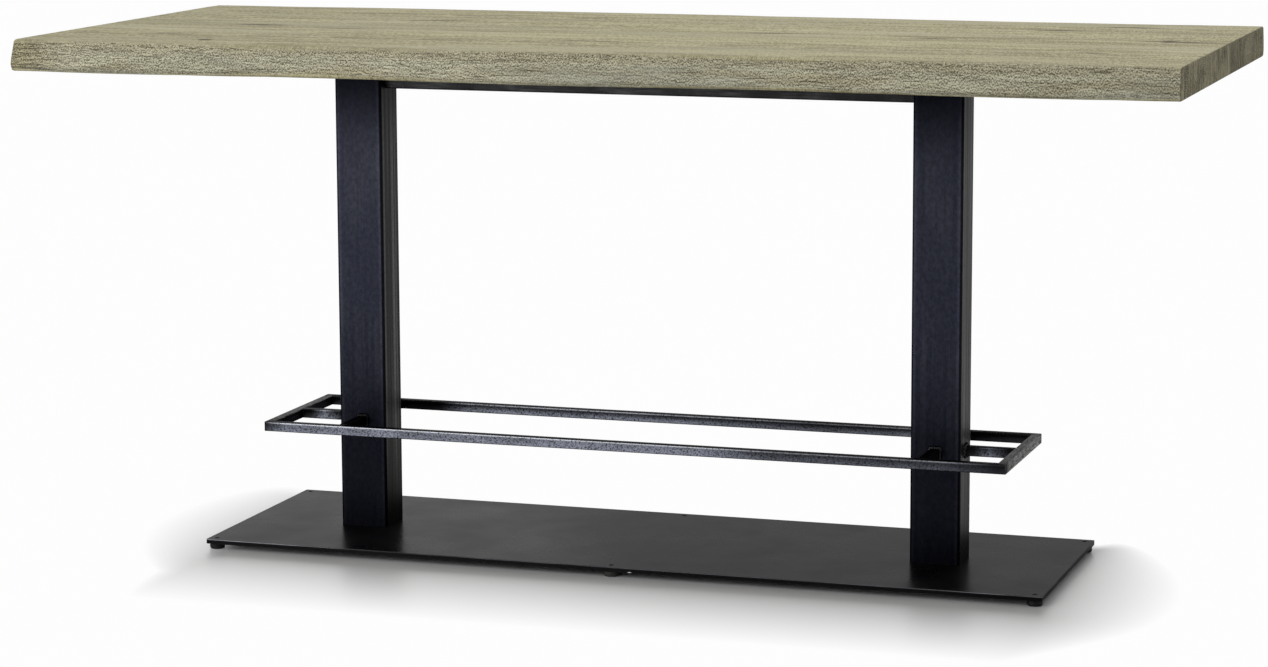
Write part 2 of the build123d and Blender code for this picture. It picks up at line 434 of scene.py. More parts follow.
def rubbedEdge(given):
    soft = addNode("Bevel", {"Radius": given["Radius"]}, samples=rubFigure["bevelSamples"])[0]
    hard = facingBy(soft, "True Normal")
    turn = minus(1.0, vectorOn("DOT_PRODUCT", soft, hard))
    patch = stretched(given["Position"], **rubFigure["patch"])
    start = times(given["Patchy"], rubFigure["patchLow"])
    worn = remap(patch, start, rubFigure["patchHigh"])
    rim = times(remap(turn, *rubFigure["turnSpan"]), worn)
    return {"Mask": times(rim, given["Amount"], clamp=True)}


edgeGroup = makeGroup("rubbedEdge", {
    "Position": origin, "Radius": 0.002, "Amount": 1.0, "Patchy": 0.5}, rubbedEdge)


# coated steel: orange peel, cloudy tone, dust and rub streaks along one axis; on weld beads the pale specks
# and streaks are painted glints
coatFigure = {
    "cloud": dict(stretch=(7, 7, 5), detail=4, rough=0.6, span=(0.35, 0.7)),
    "streak": dict(detail=3, rough=0.6),
    "streakSpan": (0.35, 0.7),
    "roughSpan": (0.3, 0.7),
    "grit": dict(stretch=(420, 420, 420), detail=1, span=(0.70, 0.78)),
    "dustAndGlint": (0.30, 0.30, 0.29, 1.0),
    "peel": (700.0, 700.0, 700.0),
    "streakDepth": 0.4,
    "bumpStrength": 0.25,
}


def steelCoat(given):
    cloud = patches(given["Position"], **coatFigure["cloud"])
    streak = stretched(given["Position"], given["Streak"], **coatFigure["streak"])
    mark = times(cloud, remap(streak, *coatFigure["streakSpan"]))
    haze = times(mark, given["Haze Amount"], clamp=True)
    color = mixColor(haze, given["Base"], given["Haze"])
    grit = patches(given["Position"], **coatFigure["grit"])
    # pale specks: dust, and on weld beads painted glints
    dustAndGlint = times(grit, given["Dust And Glint"], clamp=True)
    peel = stretched(given["Position"], coatFigure["peel"])
    return {
        "Color": mixColor(dustAndGlint, color, coatFigure["dustAndGlint"]),
        "Roughness": remap(
            streak, *coatFigure["roughSpan"], given["Rough Low"], given["Rough High"], smooth=False),
        "Height": timesPlus(streak, coatFigure["streakDepth"], peel),
    }


coatGroup = makeGroup("steelCoat", {
    "Position": origin, "Streak": (60.0, 60.0, 3.0), "Base": black, "Haze": (0.1, 0.1, 0.1, 1.0),
    "Haze Amount": 0.3, "Rough Low": 0.3, "Rough High": 0.5, "Dust And Glint": 0.2}, steelCoat)


# scuffs, specks and pits left by shoes
scuffFigure = {
    "speck": dict(stretch=(330, 330, 330), detail=3, rough=0.7, span=(0.38, 0.56), tones=(0.35, 1.0)),
    "scuff": dict(stretch=(9, 9, 40), detail=3, rough=0.6, span=(0.32, 0.58), tones=(0.65, 1.0)),
    "pit": dict(stretch=(240, 240, 240), span=(0.55, 0.63), tones=(1.0, 0.12)),
}


def shoeScuff(given):
    mask = 1.0
    for figure in scuffFigure.values():
        mask = times(mask, patches(given["Position"], **figure))
    return {"Mask": mask}


scuffGroup = makeGroup("shoeScuff", {"Position": origin}, shoeScuff)
print("shader groups made")

# oak top: colours shared by all boards, glue lines, and how edge and end take over from the face
oakLook = {
    "light": (0.475, 0.438, 0.270, 1.0),
    "dark": (0.225, 0.200, 0.112, 1.0),
    "wash": (0.392, 0.368, 0.255, 1.0),
    "endLight": (0.390, 0.356, 0.238, 1.0),
    "endDark": (0.062, 0.054, 0.033, 1.0),
    "edgeLight": (0.580, 0.556, 0.412, 1.0),
    "edgeDark": (0.100, 0.091, 0.058, 1.0),
    "edgeGray": (0.360, 0.370, 0.315, 1.0),
    "edgeBrown": (0.760, 0.710, 0.600, 1.0),
    "split": (0.050, 0.043, 0.028, 1.0),
    "stain": (0.135, 0.108, 0.060, 1.0),
    "stainShare": 0.85,
    "splitShare": 0.95,
    "splitDepth": -3.0,
    "gloss": 0.15,
    "seamWidth": 0.0007,
    "seamTone": 0.72,
    "freeSide": 0.05,
    "ragged": dict(stretch=(16, 60, 60), detail=4, rough=0.75),
    "raggedReach": 1.8,
    "edgeSpan": (0.05, 0.95),
    "edgeHeight": 4.0,
    "edgeRough": 0.85,
    "endFacing": (0.55, 0.80),
    "endHeight": 2.0,
    "endRough": 0.9,
    "bumpStrength": 0.6,
    "bump": 0.0006,
}

# each board: tones of its face and ends, the lower end tones of the back boards being painted shade, offset
# of its figure, where its pith lies and how it drifts
boardLook = {
    "stave_front_edge": dict(tones=(1.03, 0.97), shift=(0.0, 0.0, 0.0), pith=(-0.47, 0.93), drift=0.017),
    "stave_inner_1": dict(tones=(0.97, 1.06), shift=(3.1, 0.7, 0.2), pith=(-0.28, 0.86), drift=0.033),
    "stave_inner_2": dict(tones=(1.04, 1.00), shift=(7.4, 1.3, 0.5), pith=(-0.17, 1.21), drift=-0.021),
    "stave_inner_3": dict(tones=(0.95, 0.95), shift=(1.7, 2.9, 0.1), pith=(0.03, 0.90), drift=0.011),
    "stave_inner_4": dict(tones=(1.02, 0.72), shift=(5.2, 3.3, 0.8), pith=(0.13, 1.24), drift=-0.028),
    "stave_inner_5": dict(tones=(0.93, 0.84), shift=(9.6, 4.1, 0.4), pith=(0.34, 0.88), drift=0.024),
    "stave_back_edge": dict(tones=(0.99, 0.86), shift=(2.3, 5.7, 0.6), pith=(0.46, 0.94), drift=-0.014),
}

# drying cracks on the top face: middle x and y, half length, slope, width
crackMarks = [
    (1.100, 0.042, 0.085, -0.07, 0.014),
    (1.075, 0.046, 0.018, 0.00, 0.030),
    (-0.858, -0.018, 0.060, 0.05, 0.013),
    (-0.532, 0.198, 0.060, 0.35, 0.012),
    (0.940, 0.379, 0.060, -0.02, 0.016),
    (0.815, 0.266, 0.055, 0.00, 0.014),
    (0.240, 0.042, 0.075, 0.10, 0.010),
    (-0.810, -0.411, 0.016, -0.20, 0.020),
    (0.978, -0.255, 0.035, -0.15, 0.009),
    (-0.646, -0.068, 0.070, -0.10, 0.008),
    (-0.968, -0.279, 0.050, 0.25, 0.007),
    (0.606, 0.002, 0.040, 0.10, 0.009),
    (-0.040, -0.237, 0.120, -0.10, 0.006),
]


def addCracks(position, low, high, color, height):
    for x, y, half, slope, width in crackMarks:
        if low.y <= y <= high.y:
            crack = useGroup(crackGroup, {
                "Position": position, "Middle": (x, y, high.z), "Half Length": half, "Slope": slope,
                "Width": width})
            color = mixColor(times(crack["Stain"], oakLook["stainShare"]), color, oakLook["stain"])
            color = mixColor(times(crack["Core"], oakLook["splitShare"]), color, oakLook["split"])
            height = timesPlus(crack["Core"], oakLook["splitDepth"], height)
    return color, height


def addGlueLines(position, low, high, color):
    across = axesOf(position)["Y"]
    for seam in (low.y, high.y):
        if abs(seam) < cadBox[1][1] - oakLook["freeSide"]:  # the free sides have no glue line
            away = unsigned(minus(across, seam))
            color = shadeBy(color, remap(away, 0.0, oakLook["seamWidth"], oakLook["seamTone"], 1.0))
    return color


def makeOak(nodeName, natural):
    look = boardLook[nodeName]
    # endTone also darkens the back boards' ends with painted shade
    faceTone, endTone = look["tones"]
    material, shader, position = newMaterial("oak_" + nodeName)
    place = {"Position": position, "Shift": look["shift"]}
    figure = dict(place, **{"Pith Y": look["pith"][0], "Pith Z": look["pith"][1]})
    grain = useGroup(grainGroup, dict(
        figure, Light=oakLook["light"], Dark=oakLook["dark"], Wash=oakLook["wash"], Tone=faceTone,
        Drift=look["drift"]))
    end = useGroup(endGroup, dict(figure, Light=oakLook["endLight"], Dark=oakLook["endDark"]))
    low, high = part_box(nodeName)
    color, height = addCracks(position, low, high, grain["Color"], grain["Height"])
    color = addGlueLines(position, low, high, color)
    dull = grain["Roughness"]
    if natural:  # the worked mesh carries how rough it is at each point
        edge = useGroup(naturalGroup, dict(
            place, Light=oakLook["edgeLight"], Dark=oakLook["edgeDark"], Gray=oakLook["edgeGray"],
            Brown=oakLook["edgeBrown"], Split=oakLook["split"], Top=high.z))
        share = addNode("Attribute", {}, material.node_tree, attribute_name="roughShare")["Fac"]
        ragged = minus(stretched(position, **oakLook["ragged"]), 0.5)
        share = timesPlus(ragged, oakLook["raggedReach"], share)
        share = remap(share, *oakLook["edgeSpan"])
        color = mixColor(share, color, edge["Color"])
        height = mixValue(share, height, times(edge["Height"], oakLook["edgeHeight"]))
        dull = mixValue(share, dull, oakLook["edgeRough"])
    facing = unsigned(axesOf(facingBy(position))["X"])
    endShare = remap(facing, *oakLook["endFacing"])
    height = mixValue(endShare, height, times(end["Height"], oakLook["endHeight"]))
    feed(shader.inputs, {
        "Base Color": mixColor(endShare, color, shadeBy(end["Color"], endTone)),
        "Roughness": mixValue(endShare, dull, oakLook["endRough"]),
        "Specular IOR Level": oakLook["gloss"],
        "Normal": bump(height, oakLook["bumpStrength"], oakLook["bump"]),
    })
    return material


# natural edges: a dense skin cast onto the CAD board from inside it, then worked inwards by layers of noise,
# each with its cells per metre along and round the board, its own part of the noise and its depth
edgeWork = {
    "lengthStep": 0.004,
    "outlineStep": 0.0016,
    "flatStep": 0.012,
    "flatSlope": 0.995,
    "endSteps": (0.00002, 0.0002, 0.0006, 0.0012, 0.0020, 0.0026),
    "castPlace": 0.085,
    "castRays": 1600,
    "castMargin": 1e-4,
    "smoothing": 3,
    "layers": {
        "fibre": dict(cells=(10.0, 250.0), part=0.0, depth=0.0010),
        "chip": dict(cells=(48.0, 330.0), part=11.0, depth=0.0008),
        "lump": dict(cells=(7.0, 24.0), part=23.0, depth=0.0018),
    },
    "gouge": dict(cells=(4.0, 70.0), part=37.0, depth=0.0035),
    "gougeStart": 0.30,
    "level": 0.998,
    "upperTurn": 0.30,
    "lowerTurn": 0.10,
    "topShare": 0.45,
    "topReach": 0.060,
}
tiny = 1e-9


def castOutline(skin, x, centre, angles):
    points = []
    for angle in angles:
        way = Vector((0.0, math.cos(angle), math.sin(angle)))
        hit = skin.ray_cast(Vector((x, centre[0], centre[1])), way)[0]
        points.append((hit.y, hit.z))
    return np.array(points)


def runsOf(points):
    return np.hypot(*np.diff(points, axis=0).T)


def chooseAngles(skin, centre, side, seam, high):
    # even steps along the outline at mid length, close on the natural edge and wide on the flats
    rise = math.atan2(high.z - centre[1], (seam - centre[0]) * side) - edgeWork["castMargin"]
    sweep = np.linspace(rise, -rise, edgeWork["castRays"])
    angles = sweep if side > 0 else math.pi - sweep
    outline = castOutline(skin, 0.0, centre, angles)
    run = runsOf(outline)
    slope = np.abs(np.diff(outline[:, 0])) / np.maximum(run, tiny)
    step = np.where(slope > edgeWork["flatSlope"], edgeWork["flatStep"], edgeWork["outlineStep"])
    count = np.concatenate([[0.0], np.cumsum(run / step)])
    wanted = np.linspace(0.0, count[-1], int(count[-1]) + 1)
    return np.interp(wanted, count, angles)


def smoothAlong(values, reach):
    padded = np.concatenate([np.repeat(values[:1], reach, 0), values, np.repeat(values[-1:], reach, 0)])
    total = np.cumsum(np.concatenate([np.zeros_like(padded[:1]), padded]), axis=0)
    return (total[2 * reach + 1:] - total[:-2 * reach - 1]) / (2 * reach + 1)


def castRings(skin, low, high, centre, angles):
    # close steps at both ends and even, smoothed ones between
    *steps, inner = edgeWork["endSteps"]
    count = int((high.x - low.x - 2 * inner) / edgeWork["lengthStep"])
    middle = np.linspace(low.x + inner, high.x - inner, count)
    start = [low.x + step for step in steps]
    finish = [high.x - step for step in reversed(steps)]
    head, body, tail = (np.array([castOutline(skin, x, centre, angles) for x in places])
                        for places in (start, middle, finish))
    reach = edgeWork["smoothing"]
    body[reach:-reach] = smoothAlong(body, reach)[reach:-reach]
    stations = np.concatenate([[low.x], start[1:], middle, finish[:-1], [high.x]])
    return stations, np.concatenate([head, body, tail])


def roughnessOf(ring, along, centre):
    # 0 on the planed top, rising towards its arris, 1 on the natural edge
    tangent = np.gradient(ring, axis=0)
    level = np.abs(tangent[:, 0]) / np.maximum(np.hypot(*tangent.T), tiny)  # 1 on the flats, 0 on the edge
    upper = ring[:, 1] > centre[1]
    arris = along[np.argmax(upper & (level < edgeWork["level"]))]  # where the planed top ends
    ease = edgeWork["topShare"] * (1.0 - (arris - along) / edgeWork["topReach"]).clip(0.0, 1.0)
    turn = edgeWork["level"] - level
    turned = np.where(upper, ease + turn / edgeWork["upperTurn"], turn / edgeWork["lowerTurn"])
    return np.where(upper & (along < arris), ease, turned).clip(0.0, 1.0)


def noiseAt(x, along, seed, layer):
    lengthwise, crosswise = layer["cells"]
    return noise.noise(Vector((x * lengthwise, along * crosswise, seed + layer["part"])))


def workDepth(x, along, seed):
    depth = 0.0
    for layer in edgeWork["layers"].values():
        depth += layer["depth"] * (0.5 + 0.5 * noiseAt(x, along, seed, layer))
    gouge = edgeWork["gouge"]
    return depth + gouge["depth"] * max(0.0, noiseAt(x, along, seed, gouge) - edgeWork["gougeStart"])


def skinFaces(count, wide):
    faces = []
    for i in range(count - 1):
        for j in range(wide):
            k = (j + 1) % wide
            faces.append((i * wide + j, i * wide + k, (i + 1) * wide + k, (i + 1) * wide + j))
    last = (count - 1) * wide
    faces.append(tuple(range(wide)))
    faces.append(tuple(range(last + wide - 1, last - 1, -1)))
    return faces


def makeNaturalEdge(nodeName, side, seed):
    low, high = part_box(nodeName)
    mesh = nodes[nodeName].data
    skin = BVHTree.FromPolygons([v.co for v in mesh.vertices], [p.vertices for p in mesh.polygons])
    seam = low.y if side > 0 else high.y
    centre = (seam + side * edgeWork["castPlace"], (low.z + high.z) / 2)
    angles = chooseAngles(skin, centre, side, seam, high)
    stations, rings = castRings(skin, low, high, centre, angles)
    ring = rings[len(rings) // 2]
    along = np.concatenate([[0.0], np.cumsum(runsOf(ring))])
    roughShare = roughnessOf(ring, along, centre)
    radial = np.stack([np.cos(angles), np.sin(angles)], axis=1)
    for i, x in enumerate(stations):
        for j, share in enumerate(roughShare):
            if share > 0.0:
                rings[i, j] -= radial[j] * share * workDepth(float(x), float(along[j]), seed)
    points = [(float(x), float(y), float(z)) for x, loop in zip(stations, rings) for y, z in loop]
    name = "natural_edge_" + ("back" if side > 0 else "front")
    piece = addPiece(name, points, skinFaces(len(stations), len(angles)), [nodeName])
    attribute = piece.data.attributes.new("roughShare", "FLOAT", "POINT")
    attribute.data.foreach_set("value", np.tile(roughShare, len(stations)).astype(np.float32))
    paint(piece, makeOak(nodeName, True))


makeNaturalEdge("stave_front_edge", side=-1, seed=3.7)
makeNaturalEdge("stave_back_edge", side=1, seed=41.3)
for nodeName in boardLook:
    if nodeName.startswith("stave_inner"):
        paint(nodes[nodeName], makeOak(nodeName, False))
print("oak top dressed")

# posts: blackened steel, streaked upwards; painted reflection makes the sides greyer, painted shade darkens
# foot, head, corners and the left post's sides, and painted highlights run along the front's edges;
# a fade is from where to where, and the tones there
postLook = {
    "base": (0.0165, 0.0178, 0.0268, 1.0),
    "haze": (0.040, 0.041, 0.050, 1.0),
    "hazeAmount": 0.5,
    "roughLow": 0.34,
    "roughHigh": 0.50,
    "dustAndGlint": 0.05,
    "rub": (0.070, 0.072, 0.080, 1.0),
    "rubRadius": 0.002,
    "rubAmount": 0.3,
    "rubPatchy": 0.7,
    "grazing": 0.58,
    "bump": 0.00012,
    "streak": (85.0, 85.0, 1.6),
    # painted reflection on the sides facing along x
    "sideLow": (0.022, 0.022, 0.022, 1.0),
    "sideHigh": (0.080, 0.080, 0.078, 1.0),
    "sideStripe": dict(stretch=(120, 120, 0.9), detail=3, rough=0.65, span=(0.42, 0.66)),
    "sideFacing": (0.6, 0.9),
    "sidePower": 4.0,
    # painted shade: foot, lower part, foot of the sides, head under the top and rounded corners
    "footFade": (0.0, 0.14, 0.55, 1.0),
    "lowFade": (0.16, 0.56, 0.38, 1.0),
    "footSideFade": (0.02, 0.33, 0.03, 1.0),
    "headFade": (0.82, 1.01, 1.0, 0.20),
    "cornerFade": (0.10, 0.36, 1.0, 0.25),
    # painted highlights along both edges of the front
    "sheen": 1.45,
    "sheenWidth": 0.013,
    "sheenCore": 0.5,
    # the left tube's paler seam, the rest of its sides darkened by painted shade
    "seamTone": 1.35,
    "leftSidePaintedShade": 0.82,
    "seamPlace": 0.012,
    "seamHalfWidth": 0.008,
    "seamCore": 0.2,
    "mottle": dict(stretch=(130, 130, 90), detail=3, rough=0.7, span=(0.3, 0.7), tones=(0.80, 1.20)),
}

# beam under the top: the same steel in the top's shadow
beamLook = dict(
    postLook, base=(0.016, 0.016, 0.017, 1.0), haze=(0.085, 0.085, 0.086, 1.0), hazeAmount=0.8, dustAndGlint=0.2,
    streak=(14.0, 160.0, 160.0))

# floor plate: smoother black with faint clouds; painted shade darkens its edges against its face, a painted
# highlight lines their top, and one pale spot is a painted glint, read as a chip
plateLook = {
    "base": (0.058, 0.058, 0.061, 1.0),
    "haze": (0.085, 0.085, 0.087, 1.0),
    "hazeAmount": 0.5,
    "roughLow": 0.24,
    "roughHigh": 0.34,
    "dustAndGlint": 0.10,
    "rub": (0.16, 0.16, 0.17, 1.0),
    "rubRadius": 0.0012,
    "rubAmount": 0.4,
    "rubPatchy": 0.5,
    "grazing": 0.40,
    "bump": 0.00006,
    "streak": (6.0, 6.0, 6.0),
    # painted shade on the edges
    "sideTone": 0.12,
    "sideFacing": (0.3, 0.8, 1.0, 0.0),
    # painted highlight along the top of the edges
    "rim": (0.300, 0.300, 0.325, 1.0),
    "rimHeight": 0.0022,
    "rimCore": 0.4,
    "rimPatch": dict(stretch=(2.5, 2.5, 2.5), detail=3, rough=0.7, span=(0.38, 0.58), tones=(0.25, 1.0)),
    "rimEnds": (0.45, 0.75, 0.35, 1.0),
    # painted glint, read as a chip of bare metal: its colour, place, size and fade
    "chip": (0.50, 0.50, 0.49, 1.0),
    "paintedGlintPlace": (0.045, -0.270, 0.0128),
    "paintedGlintSize": (0.0045, 0.004, 0.0014),
    "paintedGlintSpan": (0.7, 1.1, 1.0, 0.0),
}

# footrest: the same black, rubbed by shoes to a speckled gunmetal; the end rails have a bare colour of their
# own, and scuffs along them; painted shade and a painted highlight on the upper rim of the shoe sides
footrestLook = {
    "base": (0.012, 0.012, 0.014, 1.0),
    "haze": (0.036, 0.036, 0.039, 1.0),
    "hazeAmount": 0.6,
    "roughLow": 0.30,
    "roughHigh": 0.48,
    "dustAndGlint": 0.15,
    "rub": (0.30, 0.30, 0.32, 1.0),
    "rubRadius": 0.0025,
    "rubAmount": 0.35,
    "rubPatchy": 0.6,
    "bump": 0.00025,
    "streakAlong": 7.0,
    "streakAcross": 90.0,
    "worn": (0.258, 0.272, 0.332, 1.0),
    "wornSide": (0.335, 0.335, 0.320, 1.0),
    "sideScuff": (1.0, 0.12, 1.0),
    "sideGrit": dict(stretch=(520, 60, 520), detail=1, span=(0.35, 0.65), tones=(0.45, 1.45)),
    # painted shade graded up the shoe side, then the painted highlight on its rim
    "upperSpan": (0.3, 0.9),
    "lowerStart": 0.002,
    # painted highlight along the upper rim of the shoe side
    "bright": (0.370, 0.378, 0.410, 1.0),
    "rimHeight": 0.0042,
    "rimCore": 0.5,
    "rimPower": 0.7,
    "rimScuff": (0.0, 0.3, 0.3, 0.8),
}

# how far each rail or stub is rubbed, and the light painted on it: the side that shoes meet, how much its
# top takes, its tint at grazing angles, how bright its painted highlight on the upper rim is, painted shade
# tones of that side's upper part where little and much worn, and of its lower part, then wear along it,
# which also paints light: the corners and, in painted shadow, the lengths behind the posts stay black, and
# one end is darker than a painted reflection
railWearAndPaintedLight = {
    "footrest_rail_front": {
        "out": (0, -1, 0), "top": 0.06, "grazing": 0.34, "rim": 1.0, "upper": (0.45, 0.85), "lower": 1.0,
        "worn": ((0.0, 0.03), (0.03, 0.9), (0.60, 0.85), (0.70, 0.3), (0.92, 0.35), (0.985, 0.02))},
    "footrest_rail_back": {
        "out": (0, -1, 0), "top": 0.10, "grazing": 0.36, "rim": 1.0, "upper": (0.18, 0.22), "lower": 1.5,
        "worn": ((0.17, 0.02), (0.21, 0.55), (0.45, 0.55), (0.70, 0.2), (0.85, 0.35), (0.91, 0.03))},
    "footrest_rail_left": {
        "out": (-1, 0, 0), "top": 0.42, "grazing": 0.42, "rim": 1.0, "upper": (1.0, 1.0), "lower": 1.0,
        "worn": ((0.0, 0.1), (0.1, 0.8), (0.9, 0.8), (1.0, 0.1))},
    "footrest_rail_right": {
        "out": (1, 0, 0), "top": 0.42, "grazing": 0.46, "rim": 0.35, "upper": (0.85, 0.85), "lower": 1.0,
        "worn": ((0.0, 0.0), (0.15, 0.8), (0.9, 0.85), (1.0, 0.5))},
    "footrest_stub_left_outer": {
        "out": (0, -1, 0), "top": 0.30, "grazing": 0.38, "rim": 0.2, "upper": (0.30, 0.85), "lower": 1.3,
        "worn": ((0.2, 0.0), (0.5, 0.75), (0.88, 0.0))},
    "footrest_stub_right_outer": {
        "out": (0, -1, 0), "top": 0.15, "grazing": 0.34, "rim": 0.1, "upper": (0.40, 0.85), "lower": 1.2,
        "worn": ((0.2, 0.0), (0.5, 0.55), (0.88, 0.0))},
}
plainWear = {
    "out": (0, 0, 1), "top": 0.0, "grazing": 0.32, "rim": 0.0, "upper": (1.0, 1.0), "lower": 1.0,
    "worn": ((0.0, 0.01), (1.0, 0.01))}

# weld beads: bare dark metal, laid in ripples, with painted glints from their pale haze and specks
weldLook = {
    "base": (0.006, 0.006, 0.007, 1.0),
    "haze": (0.240, 0.240, 0.235, 1.0),
    "hazeAmount": 0.45,
    "roughLow": 0.20,
    "roughHigh": 0.40,
    "dustAndGlint": 0.5,
    "rub": (0.16, 0.16, 0.16, 1.0),
    "rubRadius": 0.0006,
    "rubAmount": 0.1,
    "rubPatchy": 0.6,
    "grazing": 0.4,
    "bump": 0.0002,
    "streak": (400.0, 400.0, 400.0),
    "ripples": 30,
    "rippleDepth": 0.10,
    "rippleLean": 1.6,
    "lumpDepth": 0.22,
    "lumpCells": 330,
    "lumpPart": Vector((50.0, 90.0, 0.0)),
    "bodyShare": 0.86,
    "fullness": 0.8,
    "cornerShare": 0.2,
    "stations": 180,
    "profileSteps": 7,
    "sink": 0.0001,
    "rootSink": 0.0003,
}

# studs of the levelling feet: the same metal, cleaner, with fewer painted glints
studLook = dict(weldLook, dustAndGlint=0.05, hazeAmount=0.1, streak=(300.0, 300.0, 900.0))


def shadePost(position, color):
    look = postLook
    split = axesOf(position)
    facing = axesOf(facingBy(position))
    low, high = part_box("post_right")
    # painted reflection: sides facing along x take a paler grey with upright stripes
    stripe = patches(position, **look["sideStripe"])
    side = mixColor(stripe, look["sideLow"], look["sideHigh"])
    # a paler seam on the left tube's sides, the rest of those sides darkened by painted shade
    fromSeam = unsigned(minus(split["Y"], look["seamPlace"]))
    width = look["seamHalfWidth"]
    seam = remap(fromSeam, look["seamCore"] * width, width, look["seamTone"], look["leftSidePaintedShade"])
    seam = mixValue(mathOn("LESS_THAN", split["X"], 0.0), 1.0, seam)  # seam and painted shade, on the left tube only
    beside = unsigned(facing["X"])
    sideShare = remap(beside, *look["sideFacing"])
    color = mixColor(sideShare, color, shadeBy(side, seam))
    # painted shade: darker towards the foot and lower part, on the sides near the foot, under the top and at
    # the corners
    foot = remap(split["Z"], *look["footFade"])
    foot = times(foot, remap(split["Z"], *look["lowFade"]))
    footSide = remap(split["Z"], *look["footSideFade"])
    turnedSide = power(beside, look["sidePower"])
    tone = mixValue(turnedSide, foot, footSide)
    tone = times(tone, remap(split["Z"], *look["headFade"]))
    turned = times(beside, unsigned(facing["Y"]))
    tone = times(tone, remap(turned, *look["cornerFade"]))
    # painted highlights: paler lines along both edges of the front
    away = unsigned(minus(unsigned(split["X"]), (low.x + high.x) / 2))
    edge = minus((high.x - low.x) / 2, away)
    sheen = remap(edge, look["sheenCore"] * look["sheenWidth"], look["sheenWidth"], look["sheen"], 1.0)
    tone = times(tone, mixValue(turnedSide, sheen, 1.0))
    return shadeBy(color, times(tone, patches(position, **look["mottle"])))


def shadePlate(position, color):
    look = plateLook
    split = axesOf(position)
    # painted shade: faces that are not level, the plate's edges, are darker
    upright = unsigned(axesOf(facingBy(position))["Z"])
    beside = remap(upright, *look["sideFacing"])
    color = shadeBy(color, mixValue(beside, 1.0, look["sideTone"]))
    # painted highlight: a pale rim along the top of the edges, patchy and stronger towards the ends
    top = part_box("floor_plate")[1].z
    rim = remap(split["Z"], top - look["rimHeight"], top - look["rimCore"] * look["rimHeight"])
    ends = remap(unsigned(split["X"]), *look["rimEnds"])
    patch = times(patches(position, **look["rimPatch"]), ends)
    color = mixColor(times(times(rim, beside), patch), color, look["rim"])
    # painted glint: a pale spot on the lower front edge, read as a chip of bare metal
    offset = vectorOn("SUBTRACT", position, look["paintedGlintPlace"])
    away = vectorOn("LENGTH", vectorOn("DIVIDE", offset, look["paintedGlintSize"]))
    return mixColor(remap(away, *look["paintedGlintSpan"]), color, look["chip"])


# wear along a rail from its stops, which also paint shadow and reflection
def wearAndPaintedLightAlong(spot, low, high, stops):
    worn = addNode("ValToRGB", {0: remap(spot, low, high, smooth=False)})["Color"]
    elements = worn.node.color_ramp.elements
    for index, (place, level) in enumerate(stops):
        stop = elements[index] if index < 2 else elements.new(place)
        stop.position = place
        stop.color = (level, level, level, 1.0)
    return worn


def wearAndPaintedLightOnRail(position, color, nodeName):
    look = footrestLook
    wear = railWearAndPaintedLight.get(nodeName, plainWear)
    low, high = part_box(nodeName)
    axis = max(range(3), key=lambda k: high[k] - low[k])
    split = axesOf(position)
    # wear along the rail, whose stops also paint shadow behind the posts and a reflection on the front rail
    worn = wearAndPaintedLightAlong(split[axis], low[axis], high[axis], wear["worn"])
    facing = facingBy(position)
    out = larger(vectorOn("DOT_PRODUCT", facing, wear["out"]), 0.0)
    up = larger(vectorOn("DOT_PRODUCT", facing, (0, 0, 1)), 0.0)
    endRail = wear["out"][0] != 0
    place = vectorOn("MULTIPLY", position, look["sideScuff"]) if endRail else position
    scuff = times(worn, useGroup(scuffGroup, {"Position": place})["Mask"])
    if endRail:
        scuff = times(scuff, patches(position, **look["sideGrit"]))
    where = timesPlus(up, wear["top"], out)
    bare = look["wornSide" if endRail else "worn"]
    color = mixColor(times(where, scuff, clamp=True), color, bare)
    # painted shade: the shoe side grades from its lower tone up to its upper tone under the rim
    edge = high.z - look["rimHeight"]
    upper = remap(worn, *look["upperSpan"], *wear["upper"])
    grade = remap(split["Z"], low.z + look["lowerStart"], edge, wear["lower"], upper)
    color = shadeBy(color, mixValue(out, 1.0, grade))
    # painted highlight along the upper rim of the shoe side
    rim = remap(split["Z"], edge, high.z - look["rimCore"] * look["rimHeight"], 0.0, wear["rim"])
    rim = times(times(rim, out), power(worn, look["rimPower"]))
    rim = times(rim, remap(scuff, *look["rimScuff"]))
    return mixColor(rim, color, look["bright"])


def makeCoat(name, look, shade=None):
    material, shader, position = newMaterial(name)
    coat = useGroup(coatGroup, {
        "Position": position, "Streak": look["streak"], "Base": look["base"], "Haze": look["haze"],
        "Haze Amount": look["hazeAmount"], "Rough Low": look["roughLow"], "Rough High": look["roughHigh"],
        "Dust And Glint": look["dustAndGlint"]})
    color = shade(position, coat["Color"]) if shade else coat["Color"]
    rub = useGroup(edgeGroup, {
        "Position": position, "Radius": look["rubRadius"], "Amount": look["rubAmount"],
        "Patchy": look["rubPatchy"]})["Mask"]
    feed(shader.inputs, {
        "Base Color": mixColor(rub, color, look["rub"]),
        "Roughness": coat["Roughness"],
        "Metallic": 1.0,
        "Specular Tint": (look["grazing"], look["grazing"], look["grazing"], 1.0),
        "Normal": bump(coat["Height"], coatFigure["bumpStrength"], look["bump"]),
    })
    return material


def makeRail(nodeName):
    low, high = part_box(nodeName)
    streak = [footrestLook["streakAcross"]] * 3
    streak[0 if high.x - low.x > high.y - low.y else 1] = footrestLook["streakAlong"]
    look = dict(footrestLook, streak=streak, grazing=railWearAndPaintedLight.get(nodeName, plainWear)["grazing"])
    return makeCoat("worn_" + nodeName, look,
                    lambda position, color: wearAndPaintedLightOnRail(position, color, nodeName))


postCoat = makeCoat("blackPost", postLook, shadePost)
beamCoat = makeCoat("blackBeam", beamLook)
plateCoat = makeCoat("blackPlate", plateLook, shadePlate)
weldCoat = makeCoat("weldMetal", weldLook)
studCoat = makeCoat("blackStud", studLook)


